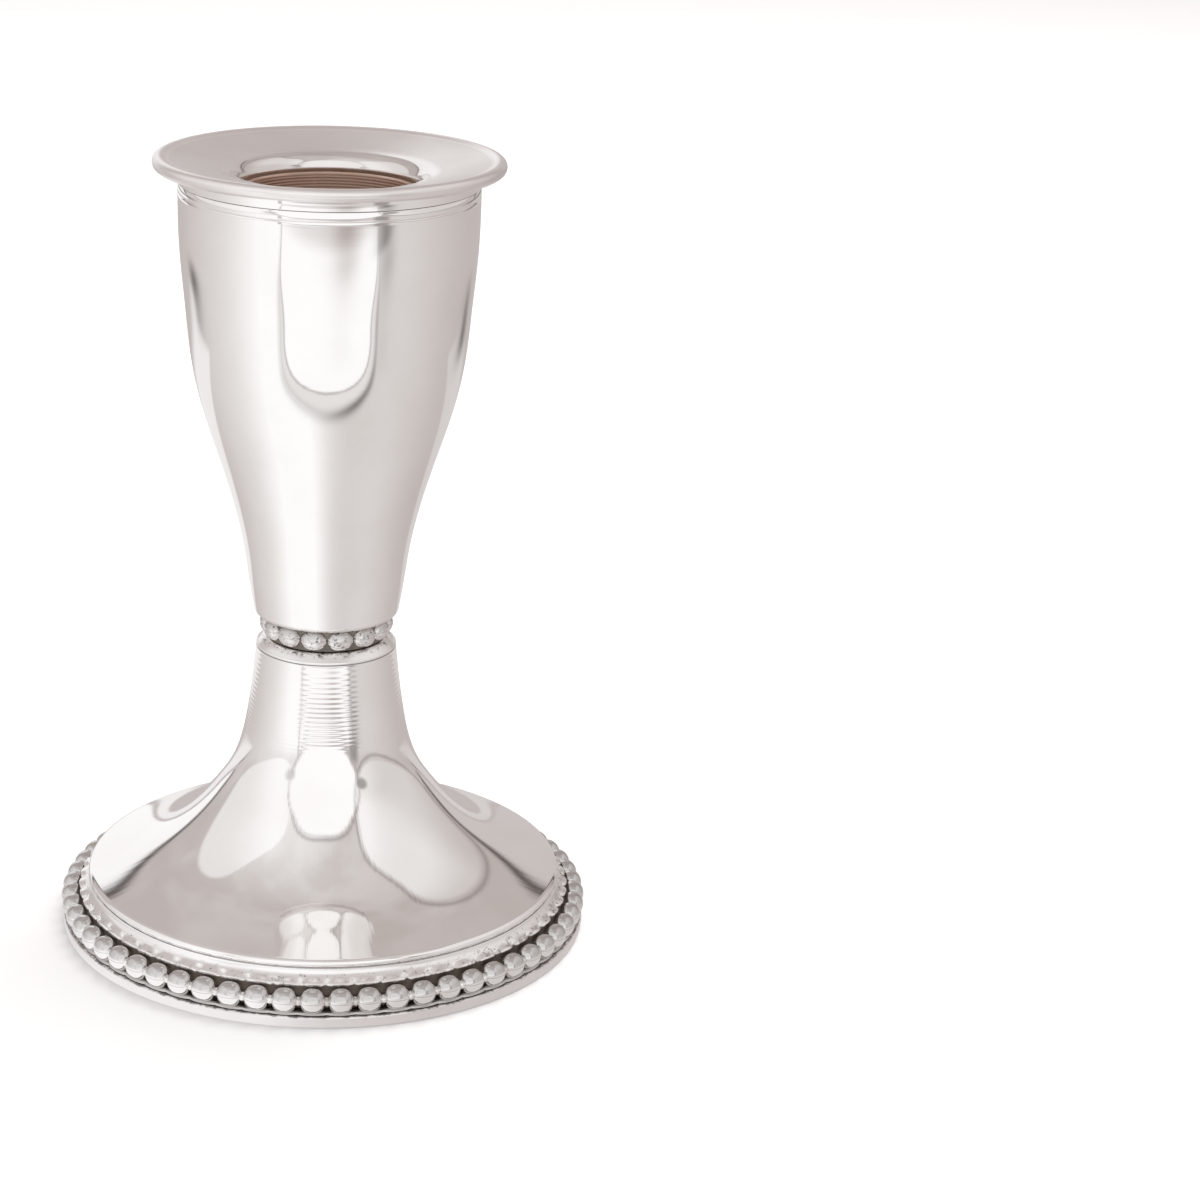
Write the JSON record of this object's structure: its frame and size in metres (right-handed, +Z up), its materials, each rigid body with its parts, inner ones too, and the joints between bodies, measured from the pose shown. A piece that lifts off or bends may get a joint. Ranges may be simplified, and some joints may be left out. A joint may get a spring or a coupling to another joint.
{
  "type": "candlestick",
  "caption": "Short silver candlestick: a dished drip pan with a candle socket lifts out of a vase-shaped body on a flared foot with a beaded border.",
  "frame": {"origin": "centre of the felt underside, on the surface the candlestick stands on", "axes": "+Z up the candle's axis, from the foot to the drip pan; the piece is turned, so X and Y are alike"},
  "size_m": [0.075, 0.075, 0.11],
  "materials": {
    "silver": "mirror-polished silver with fine polishing scratches",
    "bead_silver": "polished silver beads with dark tarnish left in the recesses",
    "socket_silver": "satin, warm-brown tarnished silver with turning marks",
    "zinc_steel": "zinc-plated steel",
    "brass": "plain turned brass",
    "plaster": "rough cast plaster",
    "board": "pressed fibre board",
    "felt": "dark green wool felt"
  },
  "bodies": {
    "stand": {"vase_shell": "silver", "vase_seat_ring": "silver", "upper_washer": "zinc_steel", "upper_nut": "brass", "tie_stud": "zinc_steel", "neck_spool": "silver", "neck_bead_ring": "bead_silver", "foot_shell": "silver", "spreader_washer": "zinc_steel", "lower_nut": "brass", "weight_fill": "plaster", "bead_border": "bead_silver", "base_ring": "silver", "base_plate": "board", "felt_pad": "felt"},
    "nozzle": {"drip_pan": "silver", "pan_rim_wire": "silver", "pan_collar": "silver", "socket_sleeve": "socket_silver", "socket_floor": "socket_silver"}
  },
  "joints": [
    {"name": "nozzle_lift", "type": "slide", "parent": "stand", "child": "nozzle", "axis": [0, 0, 1], "range_m": [0, 0.03]}
  ]
}
